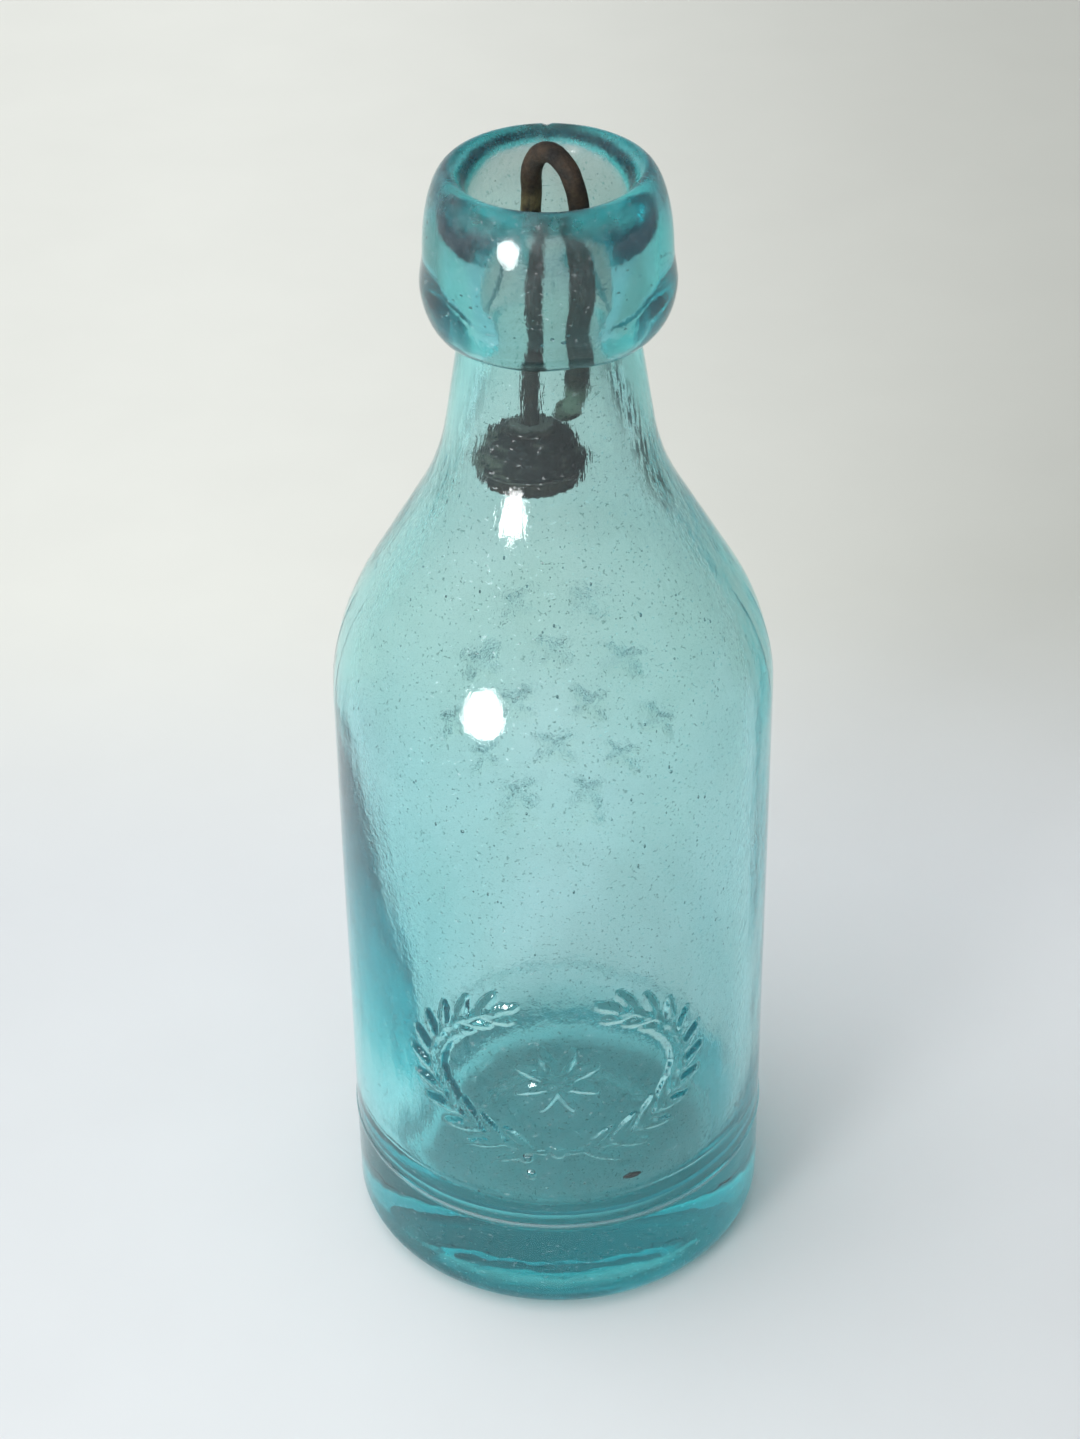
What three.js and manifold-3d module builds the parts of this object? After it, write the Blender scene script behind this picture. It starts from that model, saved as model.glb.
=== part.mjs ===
// Hutchinson bottle: mould-blown aqua glass body, applied glass lip and a spring-wire stopper.
// Units are millimetres, +Z is up, the base stands on Z = 0 and the bottle's axis is the Z axis.
// The stopper is pushed down, as on an opened bottle, with its loop standing above the lip.
import * as THREE from 'three';
import * as BufferGeometryUtils from 'three/addons/utils/BufferGeometryUtils.js';
import Module from 'manifold-3d';

const wasm = await Module();
wasm.setup();

// Glass body, outside
const BODY_RADIUS = 30.5;
const BEARING_RADIUS = 26.4;
const HEEL_HEIGHT = 4.4;
const SEAM_HEIGHT = 17.8;
const SEAM_RIDGE = 0.3;
const SHOULDER_START = 91.7;
const SHOULDER_RADIUS = 36;
const SHOULDER_SLOPE = 30;
const SHOULDER_STRAIGHT = 15.5;
const NECK_SWEEP_RADIUS = 34.5;
const NECK_TAPER = 8.6;
const NECK_END_HEIGHT = 157;

// Glass body, inside
const WALL = 3.3;
const PUSH_UP_RADIUS = 19;
const PUSH_UP_HEIGHT = 2.6;
const FLOOR_HEIGHT = 9.2;
const FLOOR_RADIUS = 13;
const FLOOR_RISE = 1.2;
const THROAT_RADIUS = 7.3;
const THROAT_TAPER = 13.8;
const THROAT_LAND = 1.7;
const BORE_LOWER_RADIUS = 8.8;
const BORE_LOWER_HEIGHT = 153.6;
const BORE_UPPER_RADIUS = 9.8;
const BORE_UPPER_HEIGHT = 166.5;

// Applied lip
const LIP_BOTTOM = 149;
const LIP_RADIUS = 16.5;
const LIP_RADIUS_HEIGHT = 156;
const LIP_SHOULDER_RADIUS = 16;
const LIP_SHOULDER_HEIGHT = 159.4;
const CREST_RADIUS = 12.4;
const TOP_HEIGHT = 171;

// Stopper
const STEM_X = -2.5;
const WIRE_RADIUS = 1.35;
const LOOP_TURN = 35;
const RIVET_RADIUS = 2.4;
const RIVET_BOTTOM = 125.9;
const PLATE_BOTTOM = 126.8;
const PLATE_RADIUS = 6.9;
const GASKET_BOTTOM = 129.6;
const GASKET_RADIUS = 7.5;
const GASKET_FLANGE = 1.3;
const BELL_LOWER_RADIUS = 6.2;
const BELL_UPPER_RADIUS = 5.7;
const WASHER_BOTTOM = 134.7;
const WASHER_RADIUS = 3.5;
const WASHER_RIM = 0.5;
const WASHER_TOP = 135.7;
const HOLE_RADIUS = 1.45;

const GLASS_SIDES = 48;
const STOPPER_SIDES = 28;
const WIRE_SIDES = 6;
const WIRE_STEPS = 76;

const radians = THREE.MathUtils.degToRad;
const point = (radius, height) => new THREE.Vector2(radius, height);

// Points of an ellipse arc in the (radius, height) plane, from one angle to another in degrees.
function arc(centre, radiusAcross, radiusUp, from, to, steps) {
  const points = [];
  for (let i = 0; i <= steps; i += 1) {
    const angle = radians(from + ((to - from) * i) / steps);
    points.push(point(centre.x + radiusAcross * Math.cos(angle), centre.y + radiusUp * Math.sin(angle)));
  }
  return points;
}

// Turns a profile about the Z axis.
function turned(profile, sides) {
  const geometry = new THREE.LatheGeometry(profile, sides);
  return geometry.rotateX(Math.PI / 2);
}

function solidOf(geometry) {
  const bare = new THREE.BufferGeometry();
  bare.setAttribute('position', geometry.getAttribute('position'));
  bare.setIndex(geometry.getIndex());
  const merged = BufferGeometryUtils.mergeVertices(bare, 1e-4);
  const triangles = merged.getIndex() ?? [...Array(merged.getAttribute('position').count).keys()];
  const mesh = new wasm.Mesh({
    numProp: 3,
    vertProperties: new Float32Array(merged.getAttribute('position').array),
    triVerts: new Uint32Array(triangles.array ?? triangles),
  });
  return new wasm.Manifold(mesh);
}

function geometryOf(solid) {
  const mesh = solid.getMesh();
  const geometry = new THREE.BufferGeometry();
  geometry.setAttribute('position', new THREE.BufferAttribute(mesh.vertProperties, 3));
  geometry.setIndex(new THREE.BufferAttribute(mesh.triVerts, 1));
  geometry.computeVertexNormals();
  return geometry;
}

// Shoulder and neck corners shared by the outside and the inside of the glass
const slope = radians(SHOULDER_SLOPE);
const shoulderCentre = point(BODY_RADIUS - SHOULDER_RADIUS, SHOULDER_START);
const sweepStart = point(
  shoulderCentre.x + SHOULDER_RADIUS * Math.cos(slope) - SHOULDER_STRAIGHT * Math.sin(slope),
  shoulderCentre.y + SHOULDER_RADIUS * Math.sin(slope) + SHOULDER_STRAIGHT * Math.cos(slope),
);
const sweepCentre = point(
  sweepStart.x + NECK_SWEEP_RADIUS * Math.cos(slope),
  sweepStart.y + NECK_SWEEP_RADIUS * Math.sin(slope),
);
const neckFoot = point(
  sweepCentre.x - NECK_SWEEP_RADIUS * Math.cos(radians(NECK_TAPER)),
  sweepCentre.y - NECK_SWEEP_RADIUS * Math.sin(radians(NECK_TAPER)),
);
const neckRadius = neckFoot.x - (LIP_BOTTOM - neckFoot.y) * Math.tan(radians(NECK_TAPER));

// Radius of the bore between its two measured heights
function boreRadius(height) {
  const share = (height - BORE_LOWER_HEIGHT) / (BORE_UPPER_HEIGHT - BORE_LOWER_HEIGHT);
  return THREE.MathUtils.lerp(BORE_LOWER_RADIUS, BORE_UPPER_RADIUS, share);
}

function bodyOutside() {
  return [
    point(0, PUSH_UP_HEIGHT),
    point(PUSH_UP_RADIUS * 0.6, PUSH_UP_HEIGHT * 0.64),
    point(PUSH_UP_RADIUS, 0),
    ...arc(point(BEARING_RADIUS, HEEL_HEIGHT), BODY_RADIUS - BEARING_RADIUS, HEEL_HEIGHT, -90, 0, 4),
    point(BODY_RADIUS, SEAM_HEIGHT - 2 * SEAM_RIDGE),
    point(BODY_RADIUS + SEAM_RIDGE, SEAM_HEIGHT),
    point(BODY_RADIUS, SEAM_HEIGHT + 2 * SEAM_RIDGE),
    ...arc(shoulderCentre, SHOULDER_RADIUS, SHOULDER_RADIUS, 0, SHOULDER_SLOPE, 6),
    ...arc(sweepCentre, NECK_SWEEP_RADIUS, NECK_SWEEP_RADIUS, 180 + SHOULDER_SLOPE, 180 + NECK_TAPER, 5),
    point(neckRadius, LIP_BOTTOM),
    point(neckRadius, NECK_END_HEIGHT),
  ];
}

function bodyInside() {
  const sweep = NECK_SWEEP_RADIUS + WALL;
  const taper = radians(THROAT_TAPER);
  const coneFoot = point(sweepCentre.x - sweep * Math.cos(taper), sweepCentre.y - sweep * Math.sin(taper));
  const throatHeight = coneFoot.y + (coneFoot.x - THROAT_RADIUS) / Math.tan(taper);
  const inside = SHOULDER_RADIUS - WALL;
  const wallRadius = BODY_RADIUS - WALL;
  const corner = wallRadius - FLOOR_RADIUS;
  return [
    point(boreRadius(NECK_END_HEIGHT), NECK_END_HEIGHT),
    point(BORE_LOWER_RADIUS, BORE_LOWER_HEIGHT),
    point(THROAT_RADIUS, throatHeight + THROAT_LAND),
    point(THROAT_RADIUS, throatHeight),
    ...arc(sweepCentre, sweep, sweep, 180 + THROAT_TAPER, 180 + SHOULDER_SLOPE, 4),
    ...arc(shoulderCentre, inside, inside, SHOULDER_SLOPE, 0, 5),
    ...arc(point(FLOOR_RADIUS, FLOOR_HEIGHT + corner), corner, corner, 0, -90, 5),
    point(0, FLOOR_HEIGHT + FLOOR_RISE),
  ];
}

function bottleBody() {
  return turned([...bodyOutside(), ...bodyInside()], GLASS_SIDES);
}

function appliedLip() {
  const lowerSwell = LIP_RADIUS_HEIGHT - LIP_BOTTOM;
  const upperSwell = TOP_HEIGHT - LIP_SHOULDER_HEIGHT;
  const profile = [
    ...arc(point(neckRadius, LIP_RADIUS_HEIGHT), LIP_RADIUS - neckRadius, lowerSwell, -90, 0, 5),
    ...arc(point(CREST_RADIUS, LIP_SHOULDER_HEIGHT), LIP_SHOULDER_RADIUS - CREST_RADIUS, upperSwell, 0, 90, 6),
    ...arc(point(CREST_RADIUS, BORE_UPPER_HEIGHT), BORE_UPPER_RADIUS - CREST_RADIUS,
      TOP_HEIGHT - BORE_UPPER_HEIGHT, 90, 0, 4).slice(1),
    point(boreRadius(NECK_END_HEIGHT), NECK_END_HEIGHT),
    point(neckRadius, NECK_END_HEIGHT),
    point(neckRadius, LIP_BOTTOM),
  ];
  return turned(profile, GLASS_SIDES);
}

// Centre line of the wire, as (distance out from the stem in the loop's plane, height) points:
// straight stem, round bend over the top, bowed free leg and the curl at its end.
const WIRE_LINE = [
  [0, PLATE_BOTTOM - 0.2], [0, 132], [0.15, 142], [0.4, 155], [0.6, 167.5],
  [1.1, 172.1], [3.1, 173.95], [5.5, 173.05], [7.2, 170.2],
  [8, 165.5], [8.1, 160], [7.4, 151], [6.9, 144.5],
  [6.6, 140.6], [5.6, 138.8], [4.5, 138.9],
];

function springWire() {
  const turn = radians(LOOP_TURN);
  const line = WIRE_LINE.map(([out, height]) => (
    new THREE.Vector3(STEM_X + out * Math.cos(turn), -out * Math.sin(turn), height)
  ));
  const round = new THREE.Shape().absarc(0, 0, WIRE_RADIUS, 0, 2 * Math.PI, false);
  const wire = new THREE.ExtrudeGeometry(round, {
    extrudePath: new THREE.CatmullRomCurve3(line),
    steps: WIRE_STEPS,
    curveSegments: WIRE_SIDES,
  });
  const rivet = turned([
    point(0, RIVET_BOTTOM),
    point(RIVET_RADIUS * 0.7, RIVET_BOTTOM + 0.2),
    point(RIVET_RADIUS, PLATE_BOTTOM),
    point(0, PLATE_BOTTOM),
  ], STOPPER_SIDES).translate(STEM_X, 0, 0);
  return geometryOf(solidOf(wire).add(solidOf(rivet)));
}

// A ring about the stem, open in the middle for the wire
function stopperRing(outline) {
  const bottom = outline[0].y;
  const top = outline[outline.length - 1].y;
  const profile = [point(HOLE_RADIUS, bottom), ...outline, point(HOLE_RADIUS, top), point(HOLE_RADIUS, bottom)];
  return turned(profile, STOPPER_SIDES).translate(STEM_X, 0, 0);
}

function lowerPlate() {
  return stopperRing([
    point(PLATE_RADIUS - 1, PLATE_BOTTOM),
    point(PLATE_RADIUS, PLATE_BOTTOM + 0.8),
    point(PLATE_RADIUS, GASKET_BOTTOM),
  ]);
}

function rubberGasket() {
  const flangeTop = GASKET_BOTTOM + GASKET_FLANGE;
  return stopperRing([
    point(GASKET_RADIUS, GASKET_BOTTOM),
    point(GASKET_RADIUS, flangeTop),
    point(BELL_LOWER_RADIUS, flangeTop + 0.6),
    point(BELL_UPPER_RADIUS, WASHER_BOTTOM - 1.4),
    point(BELL_UPPER_RADIUS - 0.6, WASHER_BOTTOM - 0.5),
    point(WASHER_RADIUS, WASHER_BOTTOM),
  ]);
}

function upperPlate() {
  return stopperRing([
    point(WASHER_RADIUS, WASHER_BOTTOM),
    point(WASHER_RADIUS, WASHER_BOTTOM + WASHER_RIM),
    point(HOLE_RADIUS + 0.6, WASHER_TOP),
  ]);
}

function piece(name, geometry, color, roughness, metalness) {
  const mesh = new THREE.Mesh(geometry, new THREE.MeshStandardMaterial({ color, roughness, metalness }));
  mesh.name = name;
  return mesh;
}

const bottle = new THREE.Group();
bottle.add(
  piece('bottle_body', bottleBody(), 0x9fcfcd, 0.08, 0),
  piece('applied_lip', appliedLip(), 0x6fb5b4, 0.08, 0),
  piece('spring_wire', springWire(), 0x4a4030, 0.75, 0.6),
  piece('upper_plate', upperPlate(), 0x45423e, 0.8, 0.5),
  piece('rubber_gasket', rubberGasket(), 0x2f312f, 0.9, 0),
  piece('lower_plate', lowerPlate(), 0x3a3a34, 0.85, 0.5),
);
export default bottle;
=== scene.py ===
"""Looks of the hutchinson bottle: aqua glass with bubbles and moulded relief, and the old wire stopper.

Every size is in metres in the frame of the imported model. The bottle stands on Z = 0 round the Z axis.
"""
import math
import random

import bmesh
import bpy
from mathutils import Matrix, Vector, noise


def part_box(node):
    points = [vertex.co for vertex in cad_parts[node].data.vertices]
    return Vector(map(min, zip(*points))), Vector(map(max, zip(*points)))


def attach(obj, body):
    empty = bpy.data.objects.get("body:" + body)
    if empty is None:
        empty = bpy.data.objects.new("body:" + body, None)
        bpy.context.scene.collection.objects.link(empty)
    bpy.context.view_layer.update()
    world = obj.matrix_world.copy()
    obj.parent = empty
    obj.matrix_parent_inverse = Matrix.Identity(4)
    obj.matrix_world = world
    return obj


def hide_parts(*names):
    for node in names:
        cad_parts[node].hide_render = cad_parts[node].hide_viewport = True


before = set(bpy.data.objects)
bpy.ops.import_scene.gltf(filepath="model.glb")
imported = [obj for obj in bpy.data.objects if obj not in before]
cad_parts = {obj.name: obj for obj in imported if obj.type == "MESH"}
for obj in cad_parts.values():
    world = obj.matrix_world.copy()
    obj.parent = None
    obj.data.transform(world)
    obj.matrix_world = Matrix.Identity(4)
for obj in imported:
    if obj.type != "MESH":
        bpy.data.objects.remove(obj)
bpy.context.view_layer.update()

MM = 0.001

# Glass, outside
BODY_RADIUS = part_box("bottle_body")[1].x - 0.3 * MM
SEAM_RIDGE = 0.17 * MM
BEARING_RADIUS = 26.4 * MM
HEEL_HEIGHT = 4.4 * MM
SEAM_HEIGHT = 17.8 * MM
RELIEF_LOW = 25 * MM
RELIEF_HIGH = 66 * MM
SHOULDER_START = 91.7 * MM
SHOULDER_RADIUS = 36 * MM
SHOULDER_SLOPE = 30
SHOULDER_STRAIGHT = 15.5 * MM
NECK_SWEEP_RADIUS = 34.5 * MM
NECK_TAPER = 8.6

# Glass, inside
WALL = 3.3 * MM
PUSH_UP_RADIUS = 21.5 * MM
PUSH_UP_HEIGHT = 2.6 * MM
FLOOR_HEIGHT = 9.2 * MM
FLOOR_RADIUS = 13 * MM
FLOOR_RISE = 1.2 * MM
THROAT_RADIUS = 7.3 * MM
THROAT_TAPER = 13.8
THROAT_LAND = 1.7 * MM
BORE_LOWER_RADIUS = 8.8 * MM
BORE_LOWER_HEIGHT = 153.6 * MM

# Applied lip
LIP_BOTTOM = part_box("applied_lip")[0].z
TOP_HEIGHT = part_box("applied_lip")[1].z
LIP_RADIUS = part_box("applied_lip")[1].x
LIP_RADIUS_HEIGHT = LIP_BOTTOM + 7 * MM
LIP_SHOULDER_RADIUS = LIP_RADIUS - 0.5 * MM
LIP_SHOULDER_HEIGHT = LIP_BOTTOM + 10.4 * MM
CREST_RADIUS = 12.4 * MM
LIP_FILLET = 0.5 * MM

# Stopper
PLATE_LOW, PLATE_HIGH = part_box("lower_plate")
GASKET_LOW, GASKET_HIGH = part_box("rubber_gasket")
WASHER_LOW, WASHER_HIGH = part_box("upper_plate")
STEM_X = (GASKET_LOW.x + GASKET_HIGH.x) / 2
PLATE_RADIUS = (PLATE_HIGH.x - PLATE_LOW.x) / 2
GASKET_RADIUS = (GASKET_HIGH.x - GASKET_LOW.x) / 2
WASHER_RADIUS = (WASHER_HIGH.x - WASHER_LOW.x) / 2
WIRE_RADIUS = 1.35 * MM
LOOP_TURN = 35
RIVET_RADIUS = 2.4 * MM
STEM_HOLE = 1.42 * MM

# Camera, as the photograph was taken
FOCAL_PIXELS = 3200
PHOTO_WIDTH, PHOTO_HEIGHT = 1080, 1439
AXIS_COLUMN = 553.5
CAMERA_BACK = 0.36257
CAMERA_UP = 0.34868
CAMERA_PITCH = 35.9
CAMERA_ROLL = 0.66
SENSOR_WIDTH = 36

# Light
KEY_DIRECTION = (-0.62, -0.12, 1)
LAMP_PLACE = (-0.258, -0.369, 0.165)
LAMP_AIM = (0, 0, 0.12)
LAMP_SIZE = 0.165
LAMP_POWER = 0.22
LAMP_SPREAD = 60
ROOM_LOW, ROOM_HIGH = 0.74, 0.34
LIGHT_BOUNCES = 32


# Mesh helpers

def arc(centre, across, up, start, end, steps):
    """Points of an ellipse arc in the (radius, height) plane, angles in degrees."""
    turns = [math.radians(start + (end - start) * i / steps) for i in range(steps + 1)]
    return [(centre[0] + across * math.cos(t), centre[1] + up * math.sin(t)) for t in turns]


def straight(a, b, steps):
    """Points from a to b, without a itself."""
    across, up = b[0] - a[0], b[1] - a[1]
    return [(a[0] + across * i / steps, a[1] + up * i / steps) for i in range(1, steps + 1)]


def spun(profile, sectors, axis_x=0.0):
    """A bmesh turned about an upright axis at axis_x, in sectors of (degrees, steps) that close the turn.

    The layer "row" holds each point's place in the profile.
    """
    bm = bmesh.new()
    row = bm.verts.layers.int.new("row")
    verts = [bm.verts.new((axis_x + r, 0, z)) for r, z in profile]
    for i, vert in enumerate(verts):
        vert[row] = i
    edges = [bm.edges.new(pair) for pair in zip(verts, verts[1:])]
    last = verts + edges
    for degrees, steps in sectors:
        turn = bmesh.ops.spin(bm, geom=last, cent=(axis_x, 0, 0), axis=(0, 0, 1),
                              angle=math.radians(degrees), steps=steps)
        last = turn["geom_last"]
    bmesh.ops.remove_doubles(bm, verts=bm.verts, dist=2e-6)
    bmesh.ops.recalc_face_normals(bm, faces=bm.faces)
    return bm


def piece(name, bm, body, material, nodes=()):
    """Makes the bmesh a smooth-shaded object that rides on a body and stands for CAD nodes."""
    mesh = bpy.data.meshes.new(name)
    bm.to_mesh(mesh)
    bm.free()
    mesh.shade_smooth()
    mesh.materials.append(material)
    obj = bpy.data.objects.new(name, mesh)
    bpy.context.scene.collection.objects.link(obj)
    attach(obj, body)
    if nodes:
        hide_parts(*nodes)
    return obj


def smooth_step(low, high, value):
    t = min(max((value - low) / (high - low), 0.0), 1.0)
    return t * t * (3 - 2 * t)


# Relief on the glass: a leaf wreath with a rosette in front, scattered sprigs behind

def leaf(across, up, heading, length, width):
    """A pointed leaf on the unrolled glass, from its foot at (across, up), in millimetres and degrees."""
    return across, up, math.cos(math.radians(heading)), math.sin(math.radians(heading)), length, width


def leaf_height(shape, s, z):
    across, up, c, d, length, width = shape
    along = ((s - across) * c + (z - up) * d) / length
    if not 0 < along < 1:
        return 0.0
    side = (-(s - across) * d + (z - up) * c) / width
    half = 1.15 * math.sqrt(along) * (1 - along) ** 0.75
    edge = 1 - (side / half) ** 2
    vein = 0.35 * math.exp(-(side / 0.13) ** 2) * (1 - along)
    return max(smooth_step(0, 0.7, edge) - vein, 0.0) if edge > 0 else 0.0


def bead_height(across, up, radius, s, z):
    return smooth_step(0, 0.8, 1 - ((s - across) ** 2 + (z - up) ** 2) / radius ** 2)


# Larger bubbles: angle from the front in degrees, height and radius in millimetres.
BLISTERS = [
    (-8.5, 31.3, 0.6), (-7.5, 28, 0.5), (4, 26, 0.2), (31, 96, 0.25),
    (-24, 88, 0.3), (150, 60, 0.4), (-130, 40, 0.35),
]
WREATH_HEIGHT = 46
WREATH_ACROSS = 18.5
WREATH_UP = 13.5
WREATH_PAIRS = 11
# Rows of sprigs on the back: height, and places across.
SPRIG_ROWS = [
    (50, (-6, 6)), (59, (-12, 0, 12)), (68, (-18, -6, 6, 18)),
    (77, (-12, 0, 12)), (86, (-6, 6)),
]


def wreath_point(side, share):
    """Place and heading on one stem of the wreath, from its foot (share 0) to the open top (share 1)."""
    angle = math.radians(-90 + side * (6 + 146 * share))
    across = WREATH_ACROSS * math.cos(angle)
    up = WREATH_HEIGHT + WREATH_UP * math.sin(angle)
    rise, run = side * WREATH_UP * math.cos(angle), -side * WREATH_ACROSS * math.sin(angle)
    return across, up, math.degrees(math.atan2(rise, run))


def wreath_leaves():
    leaves = []
    for side in (-1, 1):
        for i in range(WREATH_PAIRS):
            across, up, heading = wreath_point(side, (i + 0.4) / WREATH_PAIRS)
            for lean in (-34, 34):
                leaves.append(leaf(across, up, heading + lean, 6.4 - 0.16 * i, 1.75))
        across, up, heading = wreath_point(side, 0.97)
        leaves.append(leaf(across, up, heading, 5, 1.6))
    return leaves + rosette(0, WREATH_HEIGHT, 8, 6.2, 2.1)


def rosette(across, up, petals, length, width):
    return [leaf(across, up, (petal + 0.5) * 360 / petals, length, width) for petal in range(petals)]


def wreath_beads():
    beads = [(0, WREATH_HEIGHT, 1.5), (0, WREATH_HEIGHT - WREATH_UP, 1.3)]
    for side in (-1, 1):
        for i in range(60):
            across, up, _ = wreath_point(side, i / 60)
            beads.append((across, up, 0.55))
    return beads


def swellings():
    """Low beads where the larger bubbles in front lift the skin of the glass."""
    lifted = [blister for blister in BLISTERS if blister[2] >= 0.5]
    return [(math.radians(angle) * BODY_RADIUS / MM, up, 2 * radius) for angle, up, radius in lifted]


def sprigs():
    """Leaves and beads of the small four-leaved sprigs."""
    middles = [(across, up) for up, row in SPRIG_ROWS for across in row]
    leaves = [petal for across, up in middles for petal in rosette(across, up, 4, 3.9, 1.5)]
    return leaves, [(across, up, 0.9) for across, up in middles]


def nearby(items, reach):
    """Items sorted into square cells of the unrolled glass, so that a point looks only at those near it."""
    cells = {}
    for item in items:
        column, row = math.floor(item[0] / reach), math.floor(item[1] / reach)
        for i in (-1, 0, 1):
            for j in (-1, 0, 1):
                cells.setdefault((column + i, row + j), []).append(item)
    return lambda s, z: cells.get((math.floor(s / reach), math.floor(z / reach)), ())


def relief():
    """Height of the relief, from 0 to 1, at an angle from the front and a height, in radians and metres."""
    front = nearby(wreath_leaves(), 7), nearby(wreath_beads() + swellings(), 7)
    back = [nearby(shapes, 7) for shapes in sprigs()]

    def height(angle, z):
        in_front = abs(angle) < math.pi / 2
        from_middle = angle if in_front else angle - math.copysign(math.pi, angle)
        s = from_middle * BODY_RADIUS / MM
        z = z / MM
        leaves, beads = front if in_front else back
        raised = [leaf_height(shape, s, z) for shape in leaves(s, z)]
        raised += [bead_height(*shape, s, z) for shape in beads(s, z)]
        return max(raised, default=0.0)

    return height


# Glass

slope = math.radians(SHOULDER_SLOPE)
SHOULDER_CENTRE = (BODY_RADIUS - SHOULDER_RADIUS, SHOULDER_START)
SWEEP_START = (
    SHOULDER_CENTRE[0] + SHOULDER_RADIUS * math.cos(slope) - SHOULDER_STRAIGHT * math.sin(slope),
    SHOULDER_CENTRE[1] + SHOULDER_RADIUS * math.sin(slope) + SHOULDER_STRAIGHT * math.cos(slope),
)
SWEEP_CENTRE = (
    SWEEP_START[0] + NECK_SWEEP_RADIUS * math.cos(slope),
    SWEEP_START[1] + NECK_SWEEP_RADIUS * math.sin(slope),
)
NECK_FOOT = (
    SWEEP_CENTRE[0] - NECK_SWEEP_RADIUS * math.cos(math.radians(NECK_TAPER)),
    SWEEP_CENTRE[1] - NECK_SWEEP_RADIUS * math.sin(math.radians(NECK_TAPER)),
)
NECK_RADIUS = NECK_FOOT[0] - (LIP_BOTTOM - NECK_FOOT[1]) * math.tan(math.radians(NECK_TAPER))


def glass_outside():
    """Profile from the middle of the base, over heel, body, shoulder and neck, to the crest of the lip."""
    shares = [i / 12 for i in range(13)]
    points = [(PUSH_UP_RADIUS * t, PUSH_UP_HEIGHT * (1 - t * t)) for t in shares]
    points += straight(points[-1], (BEARING_RADIUS - 0.5 * MM, 0), 3)
    heel = (BEARING_RADIUS, HEEL_HEIGHT)
    points += arc(heel, BODY_RADIUS - BEARING_RADIUS, HEEL_HEIGHT, -90, 0, 10)
    points += straight(points[-1], (BODY_RADIUS, SEAM_HEIGHT - 1.2 * MM), 5)
    points += straight(points[-1], (BODY_RADIUS, SEAM_HEIGHT + 1.2 * MM), 12)
    points += straight(points[-1], (BODY_RADIUS, RELIEF_LOW), 4)
    points += straight(points[-1], (BODY_RADIUS, RELIEF_HIGH), 108)
    points += straight(points[-1], (BODY_RADIUS, SHOULDER_START - 1 * MM), 42)
    points += arc(SHOULDER_CENTRE, SHOULDER_RADIUS, SHOULDER_RADIUS, 0, SHOULDER_SLOPE, 14)
    points += straight(points[-1], SWEEP_START, 7)[:-1]
    sweep = NECK_SWEEP_RADIUS
    points += arc(SWEEP_CENTRE, sweep, sweep, 180 + SHOULDER_SLOPE, 180 + NECK_TAPER, 10)
    points += straight(points[-1], (NECK_RADIUS, LIP_BOTTOM - LIP_FILLET), 7)
    corner = (NECK_RADIUS + LIP_FILLET, LIP_BOTTOM - LIP_FILLET)
    points += arc(corner, LIP_FILLET, LIP_FILLET, 180, 90, 3)[1:-1]
    lower = (corner[0], LIP_RADIUS_HEIGHT)
    points += arc(lower, LIP_RADIUS - corner[0], LIP_RADIUS_HEIGHT - LIP_BOTTOM, -90, 0, 10)
    upper = (CREST_RADIUS, LIP_SHOULDER_HEIGHT)
    points += straight(points[-1], (LIP_SHOULDER_RADIUS, LIP_SHOULDER_HEIGHT), 3)[:-1]
    points += arc(upper, LIP_SHOULDER_RADIUS - CREST_RADIUS, TOP_HEIGHT - LIP_SHOULDER_HEIGHT, 0, 90, 12)
    return points


def glass_inside():
    """Profile from the crest of the lip, down the bore and throat, to the middle of the floor."""
    sweep = NECK_SWEEP_RADIUS + WALL
    taper = math.radians(THROAT_TAPER)
    cone = (SWEEP_CENTRE[0] - sweep * math.cos(taper), SWEEP_CENTRE[1] - sweep * math.sin(taper))
    throat = cone[1] + (cone[0] - THROAT_RADIUS) / math.tan(taper)
    shoulder = SHOULDER_RADIUS - WALL
    wall = BODY_RADIUS - WALL
    corner = wall - FLOOR_RADIUS
    points = arc((CREST_RADIUS, BORE_LOWER_HEIGHT), BORE_LOWER_RADIUS - CREST_RADIUS,
                 TOP_HEIGHT - BORE_LOWER_HEIGHT, 90, 0, 14)[1:]
    points += straight(points[-1], (THROAT_RADIUS, throat + THROAT_LAND), 4)
    points += straight(points[-1], (THROAT_RADIUS, throat), 2)
    points += straight(points[-1], cone, 6)
    points += arc(SWEEP_CENTRE, sweep, sweep, 180 + THROAT_TAPER, 180 + SHOULDER_SLOPE, 6)[1:]
    points += arc(SHOULDER_CENTRE, shoulder, shoulder, SHOULDER_SLOPE, 0, 8)
    points += straight(points[-1], (wall, FLOOR_HEIGHT + corner), 9)
    points += arc((FLOOR_RADIUS, FLOOR_HEIGHT + corner), corner, corner, 0, -90, 9)[1:]
    points += straight(points[-1], (0, FLOOR_HEIGHT + FLOOR_RISE), 3)
    return points


HEAVY_SIDE = 3 * MM
FRONT_RELIEF = 0.55 * MM
BACK_RELIEF = 0.7 * MM
SIDE_SEAM_DEPTH = 0.07 * MM
SIDE_SEAM_WIDTH = 0.35 * MM
SEAM_RIDGE_WIDTH = 0.32 * MM
OUTER_WAVE = 0.05 * MM
INNER_WAVE = 0.22 * MM
DRAWN_STREAK = 0.12 * MM
LIP_RUN = 0.22 * MM
CLOSING_DEPTH = 0.25 * MM
CLOSING_WIDTH = 0.4 * MM

# Sectors round the glass: degrees and steps
FRONT_SECTOR = (90, 132)
SIDE_SECTOR = (43.5, 18)
SEAM_SECTOR = (3, 6)
BACK_SECTOR = (90, 80)


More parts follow.
